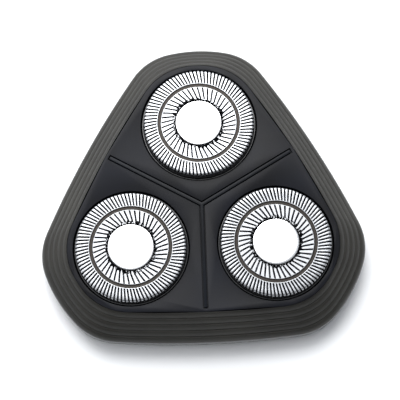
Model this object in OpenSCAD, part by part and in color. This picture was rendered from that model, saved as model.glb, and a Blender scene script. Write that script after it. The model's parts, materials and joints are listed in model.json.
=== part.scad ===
// Three-head rotary shaving unit: the detachable cutting head of a rotary shaver.
// Millimetres. +Z up, +Y towards the single rear head. The origin is where the three-fold
// axis of the heads meets the plane of the rim's foot, on which the unit stands.

/* [Heads] */
// Distance from the unit's axis to each head's axis
head_pitch_r = 15.75; // [15.6:0.05:19]
// Outward lean of each head and of its deck panel, degrees
head_lean = 3; // [1:0.5:3.5]
// Outer radius of a guard cap
cap_r = 10.46; // [8.7:0.02:10.5]
// Height of a guard cap's top above the deck
cap_proud = 1.4; // [1.2:0.1:1.8]
// Thickness of the cap's slotted top
cap_t = 0.3; // [0.25:0.05:0.4]
// Thickness of the cap's side wall
cap_wall = 0.4; // [0.3:0.05:0.5]
// Number of slots in the outer ring
outer_slots = 90; // [60:1:100]
// Number of slots in the inner ring
inner_slots = 45; // [30:1:50]
// Width of an outer slot
outer_slot_w = 0.34; // [0.2:0.02:0.34]
// Width of an inner slot
inner_slot_w = 0.36; // [0.2:0.02:0.36]
// Sideways offset that slants every slot off the radius
slot_offset = 1.7; // [0:0.1:2]
// How far the outer slots run down the side wall
slot_drop = 1; // [0.5:0.1:1.4]
// Where the groove lies, as a share of the way from the centre disc to the cap's edge
groove_share = 0.506; // [0.45:0.005:0.55]
// Width of that groove
groove_w = 0.66; // [0.4:0.02:0.8]
// Radius of the centre disc
disc_r = 4.43; // [3.6:0.02:4.6]

/* [Travel] */
// How far a cap sinks when it is pressed
float_travel = 1; // [0.5:0.1:1]
// Rocking of a head each way, degrees
rock_angle = 2.5; // [1:0.5:2.5]
// Room between a cap and the sleeve that it slides in
float_clear = 0.1; // [0.05:0.01:0.15]
// Room between that sleeve and the deck's opening
rock_clear = 0.22; // [0.2:0.01:0.4]
// Radial room in the rocking bearings
pivot_clear = 0.05; // [0.03:0.01:0.08]

/* [Deck] */
// Height of the deck's surface at each head's axis
deck_z = 11.2; // [11:0.1:14]
// Thickness of the deck
deck_t = 1.2; // [1:0.1:1.2]
// Least width of the deck between a head's opening and the long sides
side_rim = 1.625; // [1.6:0.025:5]
// Least width of the deck between a head's opening and its rounded corner
corner_rim = 0.85; // [0.8:0.05:4]
// Width of the trim strip along each arm of the Y
trim_w = 0.6; // [0.5:0.1:1.2]
// Groove on each side of the trim strip
trim_gap = 0.22; // [0.15:0.01:0.3]

/* [Bezel] */
// Width of the stepped band, at the long sides
band_side = 4.66; // [4.4:0.02:6]
// Width of the stepped band, at the corners
band_corner = 4.66; // [4.2:0.02:6]
// Number of steps in the band
band_steps = 6; // [4:1:8]
// Height of the band's lowest step
band_z = 4.8; // [4.6:0.1:5.2]
// Height of the line between the lip and the foot
lip_z = 2.4; // [2:0.1:3]
// How far the foot is set in behind the lip
foot_inset = 0.3; // [0.1:0.05:0.5]
// Wall of the bezel
bezel_wall = 1.3; // [1.1:0.05:1.4]
// Length of the finger gap in the front of the foot
finger_gap = 43.5; // [30:0.5:45]
// Room between the deck and the bezel
deck_fit = 0.05; // [0.03:0.01:0.1]

/* [Inside] */
// Thickness of the retaining frame's rings
ring_t = 1.2; // [1:0.1:1.2]
// Radius of the holes that the drive spindles enter by
spindle_bore_r = 5.2; // [5:0.1:5.5]
// Radius of the drive socket's hub
hub_r = 4.3; // [3.6:0.1:4.4]
// Across-flats size of the square drive socket
socket_af = 3.2; // [2.6:0.1:3.6]
// Number of blades in each cutter ring
blades = 15; // [9:1:18]
// Radius of the lock knob's disc
knob_r = 6; // [5:0.1:6.5]
// Radius of the lock knob's steel shaft
shaft_r = 1.5; // [1.2:0.1:1.6]
// Running room round that shaft
shaft_clear = 0.05; // [0.03:0.01:0.08]
// Radius of the frame screws' threads
screw_r = 1; // [0.8:0.1:1.1]
// Distance from the deck's long side in to each frame screw
screw_edge = 3.1; // [2.1:0.1:3.3]

/* [Hidden] */
SIDES = ["rear", "left", "right"];
function named(stem) = [for (s = SIDES) str(stem, "_", s)];
head_dir = [90, 210, 330];

// Corner geometry of the rounded triangle: long sides and corners are arcs, joined by a blend
side_arc_r = 182;
corner_arc_grow = 1.4;
arc_points = 5;
eps = 0.01;
seat_gap = 0.03;
top_z = deck_z + head_pitch_r*tan(head_lean) + 1;

// Radii of what passes through the deck, from the cap outwards
sleeve_in = cap_r + float_clear;
sleeve_t = 0.32;
sleeve_out = sleeve_in + sleeve_t;
opening_r = sleeve_out + rock_clear;
carrier_r = opening_r + 0.5;
cap_flange_r = carrier_r - 0.3;
// Deck edge: distances from the unit's axis to the middle of a long side and of a corner
deck_side = head_pitch_r*cos(60) + opening_r + side_rim;
deck_corner = head_pitch_r + opening_r + corner_rim;
// The corner's arc is struck from just past the unit's axis, and the blend runs round an opening
corner_arc_past = 1.2;
blend_rim = 0.1;
corner_arc_r = deck_corner - corner_arc_past;
blend_r = opening_r + blend_rim;

// Heights inside one head, from the deck's surface at the head's axis
flange_t = 0.6;
cap_flange_t = 0.45;
carrier_top = -deck_t - carrier_r*sin(rock_angle) - 0.3;
carrier_low = carrier_top - flange_t;
cap_flange_top = carrier_low - seat_gap;
cap_low = cap_flange_top - cap_flange_t;
sleeve_top = -0.6;
ring_top = cap_low - float_travel - cap_flange_r*sin(rock_angle) - 0.2;
ring_low = ring_top - ring_t;
ring_out = cap_flange_r + 0.7;
centre_boss_r = head_pitch_r - cap_flange_r - 0.15;
boss_proud = 0.25;
boss_t = ring_t + boss_proud;
pivot_h = (carrier_top + carrier_low)/2;
pivot_r = 0.55;
pivot_reach = 1.35;
pivot_root = (carrier_r - cap_flange_r)/2;
bearing_gap = 0.45;
bearing_w = 3;

// Slot rings and the cap's centre recess
disc_t = 0.28;
recess_r = disc_r + 0.08;
groove_r = recess_r + groove_share*(cap_r - recess_r);
inner_slot_start = 0.26;
inner_slot_r0 = recess_r + inner_slot_start;
inner_slot_r1 = groove_r - groove_w/2 - 0.1;
outer_slot_r0 = groove_r + groove_w/2 + 0.12;
shoulder = 0.4;
roof_h = cap_proud - cap_t;

// Cutter and hub
blade_gap = 0.08;
blade_top = roof_h - blade_gap;
blade_w = 0.5;
cutter_floor = -0.7;
cutter_t = 0.5;
hub_low = cap_low - 0.8;
hub_flange_r = hub_r + 1.9;
spigot_r = hub_r + 0.25;
clip_pin_r = 0.8;

// Lock knob
knob_t = 1.15;
knob_gap = 0.12;
grip_w = 2;
grip_h = 1.3;
centre_low = deck_z + ring_low + (head_pitch_r - knob_r)*tan(head_lean);
washer_t = 0.3;
knob_top = centre_low - knob_gap - washer_t;
knob_low = knob_top - knob_t;
post_r = 3.3;
lug_reach = 0.9;
lug_t = 0.8;
web_t = 1.2;
web_top = deck_z - deck_t - 0.9;
web_low = web_top - web_t;
post_low = centre_low + boss_t + 0.06;
frame_hole_r = carrier_r + 1;

// Bezel: its steps, the cut-back inside, and the room round the rocking heads
band_drop = 0.4;
step_h = (deck_z - band_drop - band_z)/(band_steps - 1);
step_wall = bezel_wall + 0.3;
roof_wall = 0.4;
lip_roof = 0.3;
foot_wall = bezel_wall + foot_inset;
deck_ledge = 0.35;
head_room = 0.35;
seal_w = 0.9;
seal_t = 1.2;
seal_lift = 0.4;

// Frame screws, their bosses and the bearing blocks
screw_head_r = 1.8;
screw_head_t = 0.9;
screw_boss_r = 2;
screw_pitch_r = deck_side - screw_edge;
screw_hole_clear = 0.15;
bearing_t = 1;
bearing_drop = 1.1;
bearing_room = 1.3;

// ---------- outline of the deck and of every step of the bezel ----------

// Centre of the blend between a side's arc (centre c1) and a corner's (centre c2), where q1 and
// q2 are their radii less the blend's own.
function blend_at(c1, q1, c2, q2) =
    let (d = c2 - c1, l = norm(d), a = (q1*q1 - q2*q2 + l*l)/(2*l),
         h = sqrt(q1*q1 - a*a), e = d/l, n = [-e.y, e.x],
         f = c1 + a*e + h*n, g = c1 + a*e - h*n, u = [cos(60), sin(60)])
    f*u > g*u ? f : g;
function arc(c, r, a0, a1) = [for (i = [0:arc_points]) let (a = a0 + (a1 - a0)*i/arc_points)
    c + r*[cos(a), sin(a)]];
// One sixth of the outline, from the middle of a long side to the middle of a corner.
// side and corner are their distances from the unit's axis.
function sixth(side, corner, side_r, corner_r, round_r) =
    let (c1 = (side - side_r)*[cos(30), sin(30)], c2 = [0, corner - corner_r],
         f = blend_at(c1, side_r - round_r, c2, corner_r - round_r),
         t1 = atan2(f.y - c1.y, f.x - c1.x), t2 = atan2(f.y - c2.y, f.x - c2.x))
    concat([c1 + side_r*[cos(30), sin(30)]], arc(f, round_r, t1, t2),
           [for (i = [1:2]) c2 + corner_r*[cos(t2 + (90 - t2)*i/2), sin(t2 + (90 - t2)*i/2)]]);
function reversed(p) = [for (i = [len(p)-2:-1:1]) [-p[i].x, p[i].y]];
function turned(p, a) = [for (q = p) [q.x*cos(a) - q.y*sin(a), q.x*sin(a) + q.y*cos(a)]];
function outline(side, corner, inset = 0, grow = 0) =
    let (s = sixth(side - inset, corner - inset, side_arc_r - inset,
                   corner_arc_r + grow - inset, blend_r - inset),
         third = concat(s, reversed(s)))
    [for (a = [0, 120, 240]) each turned(third, a)];
// Outline at a share of the way across the band: 0 at the deck, 1 at the lip
function band_line(share, inset = 0) = outline(deck_side + share*band_side,
    deck_corner + share*band_corner, inset, share*corner_arc_grow);
module plate(points, low, high) translate([0, 0, low]) linear_extrude(high - low) polygon(points);

// ---------- places ----------

// Puts what is drawn about a head's own axis, deck surface at 0, in its place
module at_head(i) rotate([0, 0, head_dir[i] - 90]) translate([0, head_pitch_r, deck_z])
    rotate([-head_lean, 0, 0]) children();
// Everything below the three leaning deck panels, lowered by drop
module below_deck(drop) intersection_for (i = [0:2]) at_head(i)
    translate([-60, -80, -40 - drop]) cube([120, 120, 40]);
module arms(w, low, high, inner, outer) for (a = [30, 150, 270]) rotate([0, 0, a])
    translate([inner, -w/2, low]) cube([outer - inner, w, high - low]);
module at_screws() for (a = [30, 150, 270]) rotate([0, 0, a]) translate([screw_pitch_r, 0, 0])
    children();

// ---------- the fixed shell ----------

module bezel_body() {
    for (i = [1:band_steps]) plate(band_line(i/band_steps), band_z - 1,
        i == 1 ? top_z : band_z + (band_steps - i)*step_h);
    plate(band_line(1), lip_z, band_z);
}
module bezel_hollow() {
    for (i = [2:band_steps]) plate(band_line(i/band_steps, step_wall), -1,
        band_z + (band_steps - i)*step_h - roof_wall);
    plate(band_line(1, foot_wall), -1, band_z - lip_roof);
}
module bezel() color("#37352f") intersection() {
    difference() {
        union() {
            bezel_body();
            plate(band_line(1, foot_inset), 0, lip_z + eps);
        }
        bezel_hollow();
        plate(outline(deck_side, deck_corner, -deck_fit), deck_z - deck_t - 1.3, top_z + 1);
        plate(outline(deck_side, deck_corner, deck_ledge), -1, top_z);
        for (i = [0:2]) at_head(i) translate([0, 0, -8])
            cylinder(r = carrier_r + head_room, h = 8, $fn = 96);
        finger_gap_cut();
    }
    below_deck(0);
}
// The front of the foot is cut away between two chamfered ends
module finger_gap_cut() rotate([90, 0, 0]) linear_extrude(deck_side + band_side + 10)
    polygon([[-finger_gap/2, -1], [-finger_gap/2, 0], [-finger_gap/2 + lip_z, lip_z],
             [finger_gap/2 - lip_z, lip_z], [finger_gap/2, 0], [finger_gap/2, -1]]);
module rim_seal() color("#55565a") difference() {
    plate(band_line(1, foot_wall), lip_z + seal_lift, lip_z + seal_lift + seal_t);
    plate(band_line(1, foot_wall + seal_w), lip_z, lip_z + seal_lift + seal_t + 1);
}
module face_plate() color("#2b2d33") difference() {
    union() {
        intersection() {
            difference() {
                plate(outline(deck_side, deck_corner), 0, top_z);
                below_deck(deck_t);
            }
            below_deck(0);
        }
        for (i = [0:2]) at_head(i) for (side = [-1, 1]) bearing(side);
        intersection() {
            at_screws() translate([0, 0, web_top]) cylinder(r = screw_boss_r, h = top_z - web_top, $fn = 48);
            below_deck(deck_t/2);
        }
    }
    for (i = [0:2]) at_head(i) {
        translate([0, 0, -deck_t - 0.6]) cylinder(r = opening_r, h = deck_t + 2, $fn = 128);
        rotate([0, 90, 0]) translate([-pivot_h, 0, -20])
            cylinder(r = pivot_r + pivot_clear, h = 40, $fn = 32);
    }
    trim_channel(0);
    at_screws() translate([0, 0, web_top - 1]) cylinder(r = screw_r, h = 2.4, $fn = 32);
}
// Bearing block that hangs from the deck beside a head
module bearing(side)
    translate([side > 0 ? carrier_r + bearing_gap : -carrier_r - bearing_gap - bearing_t,
        -bearing_w/2, pivot_h - bearing_drop])
    cube([bearing_t, bearing_w, -pivot_h + bearing_drop - deck_t/2]);
// The channel in the deck, and the strip that lies in it with a groove each side
trim_depth = 0.7;
trim_end = 0.6;
module trim_channel(shrink) intersection() {
    difference() {
        union() {
            arms(trim_w + 2*trim_gap - 2*shrink, 0, top_z, 0, deck_side - trim_end - shrink);
            cylinder(r = trim_w/2 + trim_gap - shrink, h = top_z, $fn = 32);
        }
        below_deck(trim_depth - shrink/4);
    }
    below_deck(shrink > 0 ? 0.06 : -1);
}
module trim_strip() color("#4a4b50") trim_channel(trim_gap);

// ---------- the inner frame, its post and its screws ----------

module inner_frame() color("#26262a") difference() {
    union() {
        translate([0, 0, web_low]) linear_extrude(web_t) difference() {
            polygon(outline(deck_side, deck_corner, bezel_wall));
            for (a = head_dir) rotate(a - 90) translate([0, head_pitch_r]) {
                circle(r = frame_hole_r, $fn = 96);
                square([2*(carrier_r + bearing_gap + bearing_room), bearing_w + 0.6], center = true);
            }
        }
        translate([0, 0, post_low]) cylinder(r = post_r, h = web_top - post_low, $fn = 64);
    }
    translate([0, 0, post_low - 1]) cylinder(r = shaft_r + shaft_clear, h = 10, $fn = 48);
    translate([0, 0, post_low + 1]) cylinder(r = shaft_r + lug_reach + 0.25, h = 10, $fn = 48);
    translate([-shaft_r - lug_reach - 0.2, -0.8, post_low - 1])
        cube([2*(shaft_r + lug_reach + 0.2), 1.6, 3]);
    at_screws() translate([0, 0, web_low - 1]) 
        cylinder(r = screw_r + screw_hole_clear, h = web_t + 2, $fn = 32);
}
module frame_screws() color("#b9bbbf") at_screws() {
    translate([0, 0, web_low - screw_head_t]) difference() {
        cylinder(r = screw_head_r, h = screw_head_t, $fn = 48);
        for (a = [0, 90]) rotate([0, 0, a]) translate([-1.1, -0.2, -0.1]) cube([2.2, 0.4, 0.6]);
    }
    translate([0, 0, web_low - 0.1]) cylinder(r = screw_r - 0.02, h = web_t + 1.3, $fn = 32);
}

// ---------- the retaining frame and its lock ----------

module ring_outline() difference() {
    circle(r = ring_out, $fn = 96);
    difference() {
        circle(r = ring_out - 2.4, $fn = 96);
        circle(r = spindle_bore_r + 1.2, $fn = 64);
        for (a = [30, 150, 270]) rotate(a) translate([0, -0.8]) square([ring_out, 1.6]);
    }
    circle(r = spindle_bore_r, $fn = 64);
}
module retaining_frame() color("#5b6068") difference() {
    union() {
        for (i = [0:2]) at_head(i) translate([0, 0, ring_low]) linear_extrude(ring_t) ring_outline();
        translate([0, 0, centre_low]) cylinder(r = centre_boss_r, h = boss_t, $fn = 64);
    }
    translate([0, 0, centre_low - 1]) cylinder(r = shaft_r + shaft_clear, h = 8, $fn = 48);
}
module lock_knob() color("#c9ccd2") difference() {
    union() {
        translate([0, 0, knob_low]) cylinder(r = knob_r, h = knob_t, $fn = 96);
        translate([-knob_r + 1, -grip_w/2, knob_low - grip_h]) cube([2*knob_r - 2, grip_w, grip_h + 0.2]);
    }
    for (a = [30:30:330]) if (a != 180) rotate([0, 0, a]) translate([knob_r + 0.45, 0, knob_low - 1])
        cylinder(r = 0.9, h = knob_t + 2, $fn = 24);
    translate([0, 0, knob_low]) cylinder(r = shaft_r + eps, h = knob_t + 1, $fn = 48);
}
module knob_shaft() color("#b4b6ba") {
    lug_z = post_low + 1 + 0.1;
    translate([0, 0, knob_low]) cylinder(r = shaft_r, h = lug_z + lug_t - knob_low, $fn = 48);
    translate([-0.6, -shaft_r - lug_reach, lug_z]) cube([1.2, 2*(shaft_r + lug_reach), lug_t]);
}
module knob_washer() color("#8d9096") difference() {
    translate([0, 0, knob_top + 0.02]) cylinder(r = 2.9, h = washer_t - 0.04, $fn = 48);
    translate([0, 0, knob_top - 1]) cylinder(r = shaft_r + 0.15, h = 3, $fn = 48);
}

// ---------- one head ----------

module slots(n, r0, r1, w, low) for (k = [0:n-1]) rotate([0, 0, k*360/n])
    translate([r0, -slot_offset - w/2, low]) cube([r1 - r0, w, cap_proud + 0.2 - low]);
module guard_cap(i) color("#c8cacd") at_head(i) difference() {
    rotate_extrude($fn = 128) polygon([
        [1, roof_h - disc_t], [recess_r + 0.2, roof_h - disc_t], [recess_r + 0.4, roof_h],
        [groove_r - groove_w/2 - 0.1, roof_h], [groove_r - groove_w/2 - 0.1, roof_h - 0.15],
        [groove_r + groove_w/2 + 0.1, roof_h - 0.15], [groove_r + groove_w/2 + 0.1, roof_h],
        [cap_r - cap_wall, roof_h], [cap_r - cap_wall, cap_low], [cap_flange_r, cap_low],
        [cap_flange_r, cap_flange_top], [cap_r, cap_flange_top], [cap_r, cap_proud - shoulder],
        [cap_r - 0.12, cap_proud - 0.12], [cap_r - shoulder, cap_proud],
        [groove_r + groove_w/2, cap_proud], [groove_r + groove_w/2, cap_proud - 0.2],
        [groove_r - groove_w/2, cap_proud - 0.2], [groove_r - groove_w/2, cap_proud],
        [recess_r, cap_proud], [recess_r, roof_h], [1, roof_h]]);
    slots(outer_slots, outer_slot_r0, cap_r + 1, outer_slot_w, cap_proud - slot_drop);
    slots(inner_slots, inner_slot_r0, inner_slot_r1, inner_slot_w, roof_h - disc_t - 0.1);
}
module cap_disc(i) color("#e9ebee") at_head(i) rotate_extrude($fn = 96) polygon([
    [0, roof_h - 0.5], [0.9, roof_h - 0.5], [0.9, roof_h + 0.01], [disc_r, roof_h + 0.01],
    [disc_r, roof_h + 0.01 + disc_t - 0.08], [disc_r - 0.08, roof_h + 0.01 + disc_t],
    [0, roof_h + 0.01 + disc_t]]);
module carrier_ring(i) color("#1b1c1f") at_head(i) {
    rotate_extrude($fn = 128) polygon([
        [sleeve_in, carrier_low], [carrier_r, carrier_low], [carrier_r, carrier_top],
        [sleeve_out, carrier_top], [sleeve_out, sleeve_top - 0.1], [sleeve_out - 0.1, sleeve_top],
        [sleeve_in, sleeve_top]]);
    for (side = [-1, 1]) mirror([side < 0 ? 1 : 0, 0, 0])
        translate([carrier_r - pivot_root, 0, pivot_h]) rotate([0, 90, 0])
        cylinder(r = pivot_r, h = pivot_reach + pivot_root, $fn = 32);
}

// Round-wire coil spring between the retaining frame and the cap
wire_r = 0.22;
spring_turns = 2;
spring_steps = 24;
module cap_spring(i) color("#9a9da3") at_head(i) {
    low = ring_top + wire_r + 0.02;
    rise = cap_low - wire_r - 0.02 - low;
    n = spring_turns*spring_steps;
    mid = cap_flange_r - 0.6;
    pts = [for (k = [0:n]) let (a = 360*k/spring_steps, z = low + rise*k/n) for (j = [0:5])
        let (b = 60*j, r = mid + wire_r*cos(b)) [r*cos(a), r*sin(a), z + wire_r*sin(b)]];
    polyhedron(pts, concat([[0, 1, 2, 3, 4, 5]], [[for (j = [5:-1:0]) 6*n + j]],
        [for (k = [0:n-1]) for (j = [0:5]) [6*k + j, 6*k + 6 + j, 6*k + 6 + (j+1)%6, 6*k + (j+1)%6]]));
}
module blade_row(r0, r1) for (k = [0:blades-1]) rotate([0, 0, k*360/blades])
    translate([r0, -slot_offset/2 - blade_w/2, cutter_floor + cutter_t - 0.1])
        cube([r1 - r0, blade_w, blade_top - cutter_floor - cutter_t + 0.1]);
module cutter(i) color("#a9abb0") at_head(i) difference() {
    union() {
        translate([0, 0, cutter_floor]) cylinder(r = cap_r - cap_wall - 0.45, h = cutter_t, $fn = 96);
        blade_row(groove_r + groove_w/2 + 0.35, cap_r - cap_wall - 0.5);
        blade_row(recess_r + 0.75, groove_r - groove_w/2 - 0.3);
    }
    translate([0, 0, cutter_floor - 1]) cylinder(r = spigot_r + 0.04, h = 4, $fn = 64);
}
module cutter_hub(i) color("#e4e2dc") at_head(i) difference() {
    union() {
        translate([0, 0, hub_low]) cylinder(r = hub_r, h = cutter_floor - hub_low - 0.3, $fn = 64);
        translate([0, 0, cutter_floor - 0.62]) cylinder(r = hub_flange_r, h = 0.6, $fn = 64);
        translate([0, 0, cutter_floor - 0.1]) cylinder(r = spigot_r, h = cutter_t + 0.12, $fn = 64);
    }
    translate([-socket_af/2, -socket_af/2, hub_low - 1]) cube([socket_af, socket_af, 3.2]);
    translate([0, 0, cutter_floor - 0.9]) cylinder(r = clip_pin_r, h = 3, $fn = 32);
}
module cutter_clip(i) color("#c4c6ca") at_head(i) {
    translate([0, 0, cutter_floor + cutter_t + 0.04]) cylinder(r = spigot_r + 0.5, h = 0.2, $fn = 64);
    translate([0, 0, cutter_floor - 0.85]) cylinder(r = clip_pin_r, h = cutter_t + 1, $fn = 32);
}

bezel();
rim_seal();
face_plate();
trim_strip();
inner_frame();
frame_screws();
retaining_frame();
lock_knob();
knob_shaft();
knob_washer();
for (i = [0:2]) {
    guard_cap(i);
    cap_disc(i);
    carrier_ring(i);
    cap_spring(i);
    cutter(i);
    cutter_hub(i);
    cutter_clip(i);
}
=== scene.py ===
"""The shaving unit of a three-head rotary shaver: its pieces, finishes, light and camera."""
import json
import math

import bpy
from mathutils import Matrix, Vector


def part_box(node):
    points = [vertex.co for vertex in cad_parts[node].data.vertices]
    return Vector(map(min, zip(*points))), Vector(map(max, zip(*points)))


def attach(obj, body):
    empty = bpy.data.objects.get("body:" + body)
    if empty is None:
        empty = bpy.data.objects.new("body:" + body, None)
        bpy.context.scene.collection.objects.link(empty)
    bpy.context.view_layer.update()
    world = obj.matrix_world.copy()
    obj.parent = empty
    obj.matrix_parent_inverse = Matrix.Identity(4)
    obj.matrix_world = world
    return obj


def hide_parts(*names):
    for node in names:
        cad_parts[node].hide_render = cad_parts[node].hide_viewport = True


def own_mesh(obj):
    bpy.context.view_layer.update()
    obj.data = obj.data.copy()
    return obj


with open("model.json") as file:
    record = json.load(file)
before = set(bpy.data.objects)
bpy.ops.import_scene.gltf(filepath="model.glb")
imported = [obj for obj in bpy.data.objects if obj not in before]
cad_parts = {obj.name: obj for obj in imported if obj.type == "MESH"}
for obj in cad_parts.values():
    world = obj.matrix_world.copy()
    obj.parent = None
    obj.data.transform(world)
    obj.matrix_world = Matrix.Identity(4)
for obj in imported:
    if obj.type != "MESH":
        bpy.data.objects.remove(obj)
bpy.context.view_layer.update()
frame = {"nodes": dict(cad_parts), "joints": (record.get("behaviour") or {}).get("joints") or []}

MM = 0.001
SIDES = ("rear", "left", "right")


# ---------- working with pieces, as by hand ----------

def pick(piece):
    """Leaves only this piece selected and active."""
    bpy.ops.object.select_all(action="DESELECT")
    piece.select_set(True)
    bpy.context.view_layer.objects.active = piece
    return piece


def edit(piece, *steps):
    """Runs edit-mode steps on everything in the piece."""
    pick(piece)
    bpy.ops.object.mode_set(mode="EDIT")
    bpy.ops.mesh.select_all(action="SELECT")
    for step in steps:
        step()
    bpy.ops.object.mode_set(mode="OBJECT")
    return piece


def merge_doubles(reach=0.002 * MM):
    bpy.ops.mesh.remove_doubles(threshold=reach)


def face_outwards():
    bpy.ops.mesh.normals_make_consistent(inside=False)


def finish_with(piece, kind, **settings):
    """Adds one modifier and applies it."""
    pick(piece)
    modifier = piece.modifiers.new(kind.title(), kind)
    for name, value in settings.items():
        setattr(modifier, name, value)
    bpy.ops.object.modifier_apply(modifier=modifier.name)
    return piece


def smooth(piece, degrees=35):
    pick(piece)
    bpy.ops.object.shade_smooth_by_angle(angle=math.radians(degrees))
    return piece


def bevelled(piece, width, segments=3, degrees=30):
    return finish_with(piece, "BEVEL", width=width * MM, segments=segments, limit_method="ANGLE",
                       angle_limit=math.radians(degrees), use_clamp_overlap=True)


def wrapped(name, rows, missing=None):
    """A sheet laid out in rows of points and wrapped round, with its seams merged.

    missing(row, column) is true for the cells that are punched out.
    """
    across, down = len(rows[0]), len(rows)
    bpy.ops.object.select_all(action="DESELECT")
    bpy.ops.mesh.primitive_grid_add(x_subdivisions=across, y_subdivisions=down - 1, size=1)
    piece = bpy.context.object
    piece.name = piece.data.name = name
    # Each row closes on its own first point.
    points = [value for row in rows for point in (*row, row[0]) for value in point]
    piece.data.vertices.foreach_set("co", points)
    if missing:
        for cell, face in enumerate(piece.data.polygons):
            face.select = missing(cell // across, cell % across)
        for vertex in piece.data.vertices:
            vertex.select = False
        for edge in piece.data.edges:
            edge.select = False
        bpy.ops.object.mode_set(mode="EDIT")
        bpy.ops.mesh.select_mode(type="FACE")
        bpy.ops.mesh.delete(type="FACE")
        bpy.ops.mesh.select_mode(type="VERT")
        bpy.ops.object.mode_set(mode="OBJECT")
    edit(piece, merge_doubles, bpy.ops.mesh.dissolve_degenerate, face_outwards)
    # A punched sheet is open, so its outer side is the one that its highest face shows.
    top = max(piece.data.polygons, key=lambda face: face.center.z)
    if missing and top.normal.z < 0:
        edit(piece, bpy.ops.mesh.flip_normals)
    return piece


def turned_ring(profile, steps):
    """Rows for a round piece from (radius, height) stations."""
    return [[(r * math.cos(a), r * math.sin(a), h)
             for a in (2 * math.pi * k / steps for k in range(steps))] for r, h in profile]


def in_millimetres(piece, place=Matrix.Identity(4)):
    """Takes a piece drawn in millimetres about its own axis to its place in the frame."""
    piece.data.transform(place @ Matrix.Scale(MM, 4))
    piece.data.update()
    return piece


def settle(piece, body, slot, *nodes):
    """Puts a finished piece on its body and lets it stand for its CAD nodes."""
    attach(piece, body)
    if nodes:
        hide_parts(*nodes)
    return piece


def refined(node, body, slot, width=0.12, segments=3):
    """A copy of a CAD node with its flats joined up and its edges broken."""
    pick(frame["nodes"][node])
    bpy.ops.object.duplicate()
    piece = bpy.context.object
    piece.parent = None
    piece.matrix_world = Matrix.Identity(4)
    piece.name = piece.data.name = "finished_" + node
    edit(piece, merge_doubles, lambda: bpy.ops.mesh.dissolve_limited(angle_limit=math.radians(0.4)))
    bevelled(piece, width, segments)
    smooth(piece)
    return settle(piece, body, slot, node)


# ---------- places and sizes, from the frame ----------

joints = {joint["name"]: joint for joint in frame["joints"]}


def head_place(side):
    """The frame of one head: deck surface at 0, Z along the head's own axis."""
    up = Vector(joints["spin_" + side]["axis"]).normalized()
    across = Vector(joints["rock_" + side]["axis"]).normalized()
    out = up.cross(across)
    turn = Matrix((across, out, up)).transposed().to_4x4()
    return Matrix.Translation(Vector(joints["spin_" + side]["pos_m"])) @ turn


PLACES = {side: head_place(side) for side in SIDES}
# The deck's and the bezel's bounds in metres, and from them their side and corner reaches in
# millimetres
deck_low, deck_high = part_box("face_plate")
bezel_low, bezel_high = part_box("bezel")
DECK_SIDE = -deck_low.y / MM
DECK_CORNER = deck_high.y / MM
BAND_SIDE = -bezel_low.y / MM - DECK_SIDE
BAND_CORNER = bezel_high.y / MM - DECK_CORNER
# The bezel's own heights and widths, in millimetres
LIP_TOP = 4.8
LIP_LOW = 2.4
WALL = 1.3
FOOT_INSET = 0.3
FINGER_GAP = 43.5


# ---------- the rounded triangle ----------

SIDE_ARC, CORNER_ARC, CORNER_GROW, BLEND_ARC = 182.0, 26.5, 1.4, 11.2
SIDE_STEPS, BLEND_STEPS, CORNER_STEPS = 14, 12, 9


def polar(radius, degrees):
    return Vector((math.cos(math.radians(degrees)), math.sin(math.radians(degrees)))) * radius


def bearing(point):
    return math.degrees(math.atan2(point.y, point.x))


def arc(centre, radius, start, end, steps):
    return [centre + polar(radius, start + (end - start) * k / steps) for k in range(steps)]


def outline(share=0.0, inset=0.0):
    """Points round the unit. share goes from 0 at the deck's edge to 1 at the lip."""
    side = DECK_SIDE + share * BAND_SIDE - inset
    corner = DECK_CORNER + share * BAND_CORNER - inset
    side_r, blend_r = SIDE_ARC - inset, BLEND_ARC - inset
    corner_r = CORNER_ARC + share * CORNER_GROW - inset
    c1, c2 = polar(side - side_r, 30), Vector((0, corner - corner_r))
    a_r, b_r = side_r - blend_r, corner_r - blend_r
    gap = (c2 - c1).length
    along = (c2 - c1) / gap
    reach = (a_r ** 2 - b_r ** 2 + gap ** 2) / (2 * gap)
    rise = math.sqrt(a_r ** 2 - reach ** 2)
    across = Vector((-along.y, along.x))
    c3 = max((c1 + along * reach + across * rise, c1 + along * reach - across * rise),
             key=lambda c: c.dot(polar(1, 60)))
    t1, t2 = bearing(c3 - c1), bearing(c3 - c2)
    sixth = (arc(c1, side_r, 30, t1, SIDE_STEPS) + arc(c3, blend_r, t1, t2, BLEND_STEPS)
             + arc(c2, corner_r, t2, 90, CORNER_STEPS))
    middle = c2 + polar(corner_r, 90)
    other = [Vector((-p.x, p.y)) for p in reversed(sixth)]
    third = sixth + [middle] + other[:-1]
    points = []
    for turn in (0, 120, 240):
        c, s = math.cos(math.radians(turn)), math.sin(math.radians(turn))
        points += [Vector((p.x * c - p.y * s, p.x * s + p.y * c)) for p in third]
    return points


def deck_height(point):
    """Height of the leaning deck panels at a point, in millimetres."""
    heights = []
    for place in PLACES.values():
        normal = place.to_3x3() @ Vector((0, 0, 1))
        foot = place.translation / MM
        lean = normal.x * (point.x - foot.x) + normal.y * (point.y - foot.y)
        heights.append(foot.z - lean / normal.z)
    return min(heights)


# ---------- colours and finishes ----------

def linear(hex_colour):
    """An sRGB hex colour as linear RGBA."""
    parts = [int(hex_colour[k:k + 2], 16) / 255 for k in (1, 3, 5)]
    return (*(p / 12.92 if p <= 0.04045 else ((p + 0.055) / 1.055) ** 2.4 for p in parts), 1.0)


def add(tree, kind, settings=None, **links):
    """Adds a node, sets its fields and inputs, and links the inputs named."""
    node = tree.nodes.new("ShaderNode" + kind)
    for name, value in (settings or {}).items():
        if hasattr(node, name) and name not in node.inputs:
            setattr(node, name, value)
        else:
            node.inputs[name].default_value = value
    for name, socket in links.items():
        tree.links.new(socket, node.inputs[name.replace("_", " ")])
    return node


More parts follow.
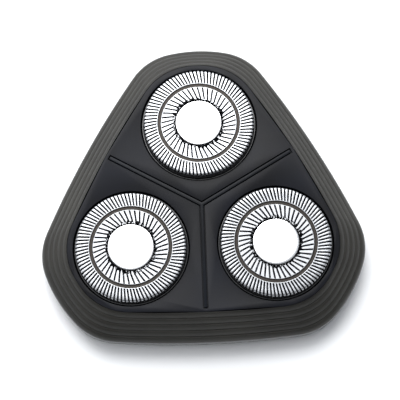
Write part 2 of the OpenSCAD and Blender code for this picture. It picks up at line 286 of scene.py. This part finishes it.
def base(name, **settings):
    """A new material with its shader set, and the coordinates its patterns read."""
    material = bpy.data.materials.new(name)
    material.use_nodes = True
    tree = material.node_tree
    shader = tree.nodes["Principled BSDF"]
    for key, value in settings.items():
        shader.inputs[key.replace("_", " ")].default_value = value
    where = add(tree, "TexCoord").outputs["Object"]
    return material, tree, shader, where


def per_metre(size_mm):
    """Noise scale for features of about this size."""
    return 1 / (size_mm * MM)


def moulded(name, low, high, grain=0.16, bump=0.25, rough=(0.5, 0.62), depth=0.02, **settings):
    """Moulded plastic or rubber: a fine, even grain from the mould that breaks up the shine.

    Such a grain is under 0.1 mm, too fine to show, so each one is drawn coarser than it is.
    """
    material, tree, shader, where = base(name, IOR=1.5, **settings)
    fine = add(tree, "TexNoise", {"Scale": per_metre(grain), "Detail": 3.0}, Vector=where)
    broad = add(tree, "TexNoise", {"Scale": per_metre(9), "Detail": 2.0}, Vector=where)
    tint = add(tree, "ValToRGB", Fac=broad.outputs["Fac"])
    tint.color_ramp.elements[0].position, tint.color_ramp.elements[1].position = 0.35, 0.68
    tint.color_ramp.elements[0].color = linear(low)
    tint.color_ramp.elements[1].color = linear(high)
    tree.links.new(tint.outputs["Color"], shader.inputs["Base Color"])
    shine = add(tree, "MapRange", {"To Min": rough[0], "To Max": rough[1]},
                Value=fine.outputs["Fac"])
    tree.links.new(shine.outputs["Result"], shader.inputs["Roughness"])
    relief = add(tree, "Bump", {"Strength": bump, "Distance": depth * MM},
                 Height=fine.outputs["Fac"])
    tree.links.new(relief.outputs["Normal"], shader.inputs["Normal"])
    return material


def turned_steel(name, colour, rough, place, pitch=0.22, bump=0.12):
    """Worked steel: fine rings round the axis of its place, and a hint of grime.

    Real rings are a few hundredths of a millimetre apart, and are drawn coarser so that they show.
    """
    material, tree, shader, where = base(name, Metallic=1.0)
    back = place.inverted()
    angles = back.to_euler("XYZ")
    local = add(tree, "Mapping", {"Location": back.translation, "Rotation": angles},
                Vector=where)
    parts = add(tree, "SeparateXYZ", Vector=local.outputs["Vector"])
    flat = add(tree, "CombineXYZ", X=parts.outputs["X"], Y=parts.outputs["Y"])
    radius = add(tree, "VectorMath", {"operation": "LENGTH"}, Vector=flat.outputs["Vector"])
    rings = add(tree, "TexNoise",
                {"noise_dimensions": "1D", "Scale": per_metre(pitch), "Detail": 2.0},
                W=radius.outputs["Value"])
    cloud = add(tree, "TexNoise", {"Scale": per_metre(2.5), "Detail": 3.0}, Vector=where)
    both = add(tree, "Math", {"operation": "MULTIPLY"})
    tree.links.new(rings.outputs["Fac"], both.inputs[0])
    tree.links.new(cloud.outputs["Fac"], both.inputs[1])
    tint = add(tree, "ValToRGB", Fac=cloud.outputs["Fac"])
    tint.color_ramp.elements[0].color = linear(colour[0])
    tint.color_ramp.elements[1].color = linear(colour[1])
    tree.links.new(tint.outputs["Color"], shader.inputs["Base Color"])
    shine = add(tree, "MapRange", {"From Max": 0.5, "To Min": rough[0], "To Max": rough[1]},
                Value=both.outputs["Value"])
    tree.links.new(shine.outputs["Result"], shader.inputs["Roughness"])
    relief = add(tree, "Bump", {"Strength": bump, "Distance": 0.01 * MM},
                 Height=rings.outputs["Fac"])
    tree.links.new(relief.outputs["Normal"], shader.inputs["Normal"])
    return material


def dress(piece, material):
    piece.data.materials.clear()
    piece.data.materials.append(material)
    return piece


# Matte ABS of the bezel, spark-eroded: soft brown-grey with no gloss
bezel_abs = moulded("bezel_abs_spark_eroded", "#201f1c", "#292824", rough=(0.42, 0.56),
                    Specular_IOR_Level=0.25)
# Deck ABS from a polished mould: blue-black, a soft sheen and almost no grain
deck_abs = moulded("deck_abs_satin", "#0c0d11", "#11131a", grain=0.3, bump=0.05, rough=(0.34, 0.42),
                   Specular_IOR_Level=0.13)
# Trim strip: the same ABS a little lighter, so that it reads apart from the deck
trim_abs = moulded("trim_abs_satin", "#0e1014", "#13161c", grain=0.25, bump=0.06,
                   rough=(0.36, 0.44), Specular_IOR_Level=0.13)
# The bezel's wall below the ridges is polished, so it mirrors what the unit stands on; its grey,
# lighter than the bezel above, is a painted reflection of the bright floor
polished_wall_painted_reflection = moulded("bezel_abs_polished_wall_painted_reflection", "#333334", "#3d3d3d", grain=0.4, bump=0.05,
                   rough=(0.1, 0.16))
# Carrier rings: glossy black acetal
carrier_acetal = moulded("carrier_acetal_gloss", "#121315", "#191a1d", grain=0.5, bump=0.04,
                         rough=(0.14, 0.2))
# Inner frame: plain dark ABS as moulded, dull where nobody looks
inner_abs = moulded("inner_frame_abs", "#202024", "#29292e")
# Retaining frame: grey acetal, a waxy half-shine
frame_acetal = moulded("retaining_frame_acetal", "#4d525a", "#5c626b", rough=(0.38, 0.5))
# Lock knob: pale grey acetal, so that a hand finds it
knob_acetal = moulded("lock_knob_acetal", "#b4b7bd", "#c6c9ce", rough=(0.36, 0.48))
# Cutter hubs: natural acetal, creamy white
hub_acetal = moulded("cutter_hub_acetal", "#d6d3ca", "#e3e0d8", rough=(0.34, 0.46))
# Rim seal: moulded rubber, nearly black and quite matt
seal_rubber = moulded("rim_seal_rubber", "#2f3033", "#3a3b3f", grain=0.4, bump=0.3,
                      rough=(0.7, 0.85))
# Screws, clips and the knob's shaft: zinc plate, pale and slightly cloudy
zinc_steel = turned_steel("zinc_plated_steel", ("#a9abae", "#c2c4c6"), (0.28, 0.42),
                          Matrix.Identity(4))
# Springs and washer: drawn wire and strip, grey with a soft shine
spring_steel = turned_steel("drawn_spring_steel", ("#85888d", "#a2a5aa"), (0.25, 0.36),
                            Matrix.Identity(4), pitch=0.12)


# ---------- the camera and the light ----------

# The unit is seen from the front, well above, with a slight roll.
SENSOR = 36
DISTANCE = 0.52
ELEVATION = 76.4
ROLL = -2.2
AIM = Vector((-0.32, 0.13, 12.6)) * MM
AIM_UP = 0.53 * MM
VIEW_WIDTH = 75.5 * MM

camera = bpy.data.objects.new("camera", bpy.data.cameras.new("camera"))
bpy.context.scene.collection.objects.link(camera)
away = Vector((0, -math.cos(math.radians(ELEVATION)), math.sin(math.radians(ELEVATION))))
right = Vector((1, 0, 0))
upward = away.cross(right)
turn = Matrix((right, upward, away)).transposed().to_4x4()
spot = AIM + upward * AIM_UP + away * DISTANCE
camera.matrix_world = Matrix.Translation(spot) @ turn @ Matrix.Rotation(math.radians(ROLL), 4, "Z")
camera.data.sensor_width = SENSOR
camera.data.lens = SENSOR * DISTANCE / VIEW_WIDTH
camera.data.clip_start = 0.01
bpy.context.scene.camera = camera
bpy.context.scene.view_settings.view_transform = "Standard"

bpy.ops.mesh.primitive_plane_add(size=6, location=(0, 0, 0))
floor = bpy.context.object
floor.name = "floor"
floor_paper, _, shader, _ = base("floor_white_paper", Roughness=0.9)
shader.inputs["Base Color"].default_value = linear("#f4f5f6")
dress(floor, floor_paper)


def softbox(name, place, size, power):
    lamp = bpy.data.objects.new(name, bpy.data.lights.new(name, "AREA"))
    lamp.data.shape = "DISK"
    lamp.data.size = size
    lamp.data.energy = power
    lamp.location = place
    lamp.rotation_euler = (-Vector(place)).to_track_quat("-Z", "Y").to_euler()
    bpy.context.scene.collection.objects.link(lamp)


softbox("overhead", (-0.14, 0.31, 0.94), 0.8, 2.0)
softbox("window", (-0.12, 0.68, 0.76), 1.1, 15.0)
softbox("left_fill", (-0.90, -0.12, 0.55), 0.5, 2.0)
sky = bpy.data.worlds.new("sky")
sky.use_nodes = True
sky.node_tree.nodes["Background"].inputs["Color"].default_value = linear("#f4f7fc")
# The room is bright behind the unit and dim in front of it
toward = add(sky.node_tree, "TexCoord").outputs["Generated"]
parts = add(sky.node_tree, "SeparateXYZ", Vector=toward)
glow = add(sky.node_tree, "MapRange",
           {"From Min": -0.7, "From Max": 0.6, "To Min": 0.3, "To Max": 1.0},
           Value=parts.outputs["Y"])
sky.node_tree.links.new(glow.outputs["Result"],
                        sky.node_tree.nodes["Background"].inputs["Strength"])
bpy.context.scene.world = sky


# ---------- bezel ----------

RIDGES = 5
BULGE = 0.022  # how far a ridge stands out, as a share of the band's drop
FIT = 0.05  # the gap left all round the deck
HEAD_CLEAR = 12.05  # the inner wall's distance from each head's axis, outside the carrier ring


def band_profile():
    """(share, how far down) stations across the ridged band, from the deck out."""
    stations = [(0.0, -0.02), (0.03, -0.005)]
    for k in range(RIDGES):
        start, width = k / RIDGES, 1 / RIDGES
        stations += [(start + 0.14 * width, start + 0.10 * width - BULGE * 0.5),
                     (start + 0.40 * width, start + 0.34 * width - BULGE),
                     (start + 0.66 * width, start + 0.60 * width - BULGE * 0.9),
                     (start + 0.84 * width, start + 0.82 * width - BULGE * 0.2)]
        if k < RIDGES - 1:
            stations += [(start + 0.90 * width, start + 1.02 * width),
                         (start + 1.02 * width, start + 1.06 * width)]
    return stations


def foot_height(point):
    """The foot reaches the floor, except along the finger gap at the front."""
    if point.y > -DECK_SIDE + 2:
        return 0.0
    return LIP_LOW * min(1.0, max(0.0, (FINGER_GAP / 2 - abs(point.x)) / LIP_LOW))


def clear_of_heads(point, height):
    """Moves a point of the inner wall out until the rocking heads miss it at that height."""
    for place in PLACES.values():
        up = place.to_3x3() @ Vector((0, 0, 1))
        foot = place.translation / MM
        along = (height - foot.z) / up.z
        axis = Vector((foot.x + up.x * along, foot.y + up.y * along))
        away = point - axis
        if away.length < HEAD_CLEAR:
            point = axis + away.normalized() * HEAD_CLEAR
    return point


def bezel_rows():
    start = outline(0, -FIT)
    tops = [deck_height(p) - 0.12 for p in outline(0)]
    rows = []
    for share, down in band_profile():
        line = outline(share) if share else start
        rows.append([(p.x, p.y, top + (LIP_TOP - top) * min(down, 1.0) + 0.02)
                     for p, top in zip(line, tops)])

    def level(share, inset, height):
        rows.append([(p.x, p.y, height) for p in outline(share, inset)])

    def inside(share, inset, height):
        rows.append([(*clear_of_heads(p, height), height) for p in outline(share, inset)])

    def foot(inset, lift):
        rows.append([(p.x, p.y, min(foot_height(p) + lift, LIP_LOW)) for p in outline(1, inset)])

    level(0.985, 0, LIP_TOP - 0.03)
    level(1, 0, LIP_TOP - 0.18)
    level(1, 0, LIP_TOP - 0.4)
    level(1, 0.02, LIP_LOW + 0.2)
    level(1, 0.06, LIP_LOW + 0.06)
    level(1, FOOT_INSET - 0.04, LIP_LOW)
    foot(FOOT_INSET, 0.3)
    foot(FOOT_INSET + 0.02, 0.12)
    foot(FOOT_INSET + 0.14, 0.0)
    foot(FOOT_INSET + WALL - 0.14, 0.0)
    foot(FOOT_INSET + WALL, 0.14)
    inside(1, FOOT_INSET + WALL, LIP_LOW + 0.1)
    inside(1, FOOT_INSET + WALL, LIP_TOP - 0.5)
    inside(0.8, FOOT_INSET + WALL - 0.2, LIP_TOP + 0.35)
    inside(0.45, WALL + 0.1, LIP_TOP + 2.1)
    inside(0.12, WALL - 0.1, 8.1)
    inside(0, 0.35, 8.3)
    inside(0, 0.35, 8.7)
    inside(0, -FIT, 8.75)
    rows.append(rows[0])
    return rows


bezel = in_millimetres(wrapped("bezel_ridged", bezel_rows()))
smooth(bezel, 50)
dress(settle(bezel, "shell", "bezel_plastic", "bezel"), bezel_abs)
bezel.data.materials.append(polished_wall_painted_reflection)
# Faces below the ridges take the wall's lighter grey, a painted reflection
for face in bezel.data.polygons:
    face.material_index = int(face.center.z < (LIP_TOP - 0.1) * MM)


# ---------- deck, trim and the pieces under them ----------

dress(refined("face_plate", "shell", "deck_plastic", 0.07), deck_abs)
dress(refined("trim_strip", "shell", "trim_plastic", 0.05, 2), trim_abs)
dress(refined("inner_frame", "shell", "inner_plastic", 0.12, 2), inner_abs)
dress(refined("retaining_frame", "shell", "frame_plastic", 0.15), frame_acetal)
dress(refined("lock_knob", "knob", "knob_plastic", 0.22), knob_acetal)
dress(refined("rim_seal", "shell", "seal_rubber", 0.25), seal_rubber)
dress(refined("frame_screws", "shell", "fastener_steel", 0.08, 2), zinc_steel)
dress(refined("knob_shaft", "knob", "fastener_steel", 0.08, 2), zinc_steel)
dress(refined("knob_washer", "shell", "spring_steel", 0.05, 2), spring_steel)


# ---------- one head ----------

# The cap's radii and heights in millimetres, deck surface at 0
CAP_R, CAP_TOP, SHOULDER, CAP_T = 10.46, 1.4, 0.4, 0.3
RECESS_R, RECESS_DEPTH = 4.51, 0.3
GROOVE_R, GROOVE_HALF, GROOVE_DEPTH = 7.52, 0.33, 0.2
OUTER_SLOTS, SLOT_OFFSET = 90, 1.7
INNER_FROM, INNER_TO = 4.77, 7.09
OUTER_FROM = 7.97
SLOT_DROP = 1.0
OUTER_W, INNER_W = 0.34, 0.36
DISC_R, DISC_GAP, DISC_STEPS = 4.43, 0.01, 96
BAR_COLUMNS = 2  # extra columns across each bar, so that it can be rounded


def cap_profile():
    """(radius, height, kind) stations over the cap. kind names the slots across the next row."""
    dip = CAP_TOP - GROOVE_DEPTH
    s = SHOULDER
    inner = [(r, CAP_TOP, "inner") for r in (INNER_FROM, 5.6, 6.3)]
    outer = [(r, CAP_TOP, "outer") for r in (OUTER_FROM, 8.6, 9.3)]
    bend = [(CAP_R - s + s * math.sin(a), CAP_TOP - s + s * math.cos(a), "outer")
            for a in (math.radians(d) for d in (0, 22, 45, 68, 90))]
    return [(RECESS_R, CAP_TOP - RECESS_DEPTH, ""), (RECESS_R, CAP_TOP - 0.05, ""),
            (RECESS_R + 0.05, CAP_TOP, ""), (RECESS_R + 0.08, CAP_TOP, ""), *inner,
            (INNER_TO, CAP_TOP, ""), (GROOVE_R - GROOVE_HALF - 0.04, CAP_TOP, ""),
            (GROOVE_R - GROOVE_HALF + 0.05, dip, ""), (GROOVE_R + GROOVE_HALF - 0.05, dip, ""),
            (GROOVE_R + GROOVE_HALF + 0.04, CAP_TOP, ""), *outer, *bend,
            (CAP_R, CAP_TOP - SLOT_DROP, ""), (CAP_R, -1.5, ""), (CAP_R, -2.45, ""),
            (CAP_R + 0.1, -2.66, ""), (CAP_R + 0.78, -2.68, "")]


def cap_rows(profile):
    """Rows whose columns follow the slanted slots."""
    rows = []
    per = 2 + BAR_COLUMNS
    for r, h, kind in profile:
        width = INNER_W if r < GROOVE_R else OUTER_W
        lean = -math.asin(SLOT_OFFSET / r)
        half = math.asin(width / 2 / r)
        pitch = 2 * math.pi / OUTER_SLOTS
        row = []
        for k in range(OUTER_SLOTS):
            for c in range(per):
                # columns 0 and 1 are the slot's two sides, the rest cross the bar
                share = 0 if c < 1 else (c - 1) / (per - 1)
                a = k * pitch + lean + (-half if c == 0 else half + share * (pitch - 2 * half))
                row.append((r * math.cos(a), r * math.sin(a), h))
        rows.append(row)
    return rows


def punched(profile):
    per = 2 + BAR_COLUMNS

    def missing(row, column):
        kind = profile[row][2]
        slot, c = divmod(column, per)
        return c == 0 and (kind == "outer" or (kind == "inner" and slot % 2 == 0))
    return missing


def guard_cap(side):
    profile = cap_profile()
    # Lapped flat on a turning plate: satin, with faint rings
    lapped = turned_steel("guard_cap_lapped_steel_" + side, ("#a5a7aa", "#c0c2c5"), (0.28, 0.38),
                          PLACES[side], bump=0.03)
    cap = wrapped("guard_cap_slotted_" + side, cap_rows(profile), punched(profile))
    # Groove faces take the dull brown-grey, and so do the recess faces round the disc, as painted
    # shade
    for face in cap.data.polygons:
        r = math.hypot(face.center.x, face.center.y)
        face.material_index = int(abs(r - GROOVE_R) < GROOVE_HALF or r < RECESS_R + 0.07)
    for finish in (lapped, groove_and_recess_painted_shade, inside_painted_shade):
        cap.data.materials.append(finish)
    # The underside and the slot walls take the nearly black painted shade
    finish_with(cap, "SOLIDIFY", thickness=CAP_T, offset=-1, use_quality_normals=True,
                material_offset=2, material_offset_rim=2)
    finish_with(cap, "BEVEL", width=0.022, segments=2, limit_method="ANGLE",
                angle_limit=math.radians(50), use_clamp_overlap=True)
    in_millimetres(cap, PLACES[side])
    smooth(cap, 40)
    return settle(cap, "head_" + side, "cap_steel", "guard_cap_" + side)


def cap_disc(side):
    low, r = CAP_TOP - RECESS_DEPTH + DISC_GAP, DISC_R
    top = CAP_TOP + DISC_GAP
    profile = [(0, low), (r - 0.02, low), (r, low + 0.04), (r, top - 0.1), (r - 0.03, top - 0.03),
               (r - 0.1, top), (r - 0.5, top + 0.01), (r * 0.5, top + 0.03), (0, top + 0.035)]
    disc = wrapped("cap_disc_polished_" + side, turned_ring(profile, DISC_STEPS))
    in_millimetres(disc, PLACES[side])
    smooth(disc, 30)
    # Polished stainless: almost a mirror, so it takes the brightness of the window
    return dress(settle(disc, "head_" + side, "disc_steel", "cap_disc_" + side),
                 turned_steel("cap_disc_polished_steel_" + side, ("#f2f3f5", "#fbfcfd"), (0.1, 0.2),
                              PLACES[side], pitch=0.3, bump=0.015))


def cap_spring(side):
    """The spring stands on the retaining frame; it is a finished copy of its CAD node, given a mesh
    of its own.
    """
    spring = dress(refined("cap_spring_" + side, "shell", "spring_steel", 0.03, 2), spring_steel)
    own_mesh(spring)


# The groove between the tracks is pressed, not lapped, so it keeps the strip's dull brown-grey
# skin; the same brown-grey in the recess round the disc is painted shade, for the dark gap there
groove_and_recess_painted_shade = turned_steel("guard_cap_pressed_groove_recess_painted_shade", ("#2d2b29", "#3e3b38"), (0.42, 0.54),
                          Matrix.Identity(4), bump=0.05)
# Inside the cap and in its slots no light gets back out: the steel there is painted nearly black, a
# painted shade
inside_painted_shade = turned_steel("guard_cap_underside_painted_shade", ("#17181a", "#222325"), (0.4, 0.55),
                          Matrix.Identity(4), bump=0.05)

for side in SIDES:
    guard_cap(side)
    cap_disc(side)
    dress(refined("carrier_ring_" + side, "carrier_" + side, "carrier_plastic", 0.06, 2),
          carrier_acetal)
    # Ground steel, given a dark colour because little light reaches it through the slots
    dress(refined("cutter_" + side, "cutter_" + side, "cutter_steel", 0.05, 2),
          turned_steel("cutter_ground_steel_" + side, ("#2f3033", "#3c3d41"), (0.4, 0.52),
                       PLACES[side]))
    dress(refined("cutter_hub_" + side, "cutter_" + side, "hub_plastic", 0.15), hub_acetal)
    dress(refined("cutter_clip_" + side, "cutter_" + side, "fastener_steel", 0.06, 2), zinc_steel)
    cap_spring(side)
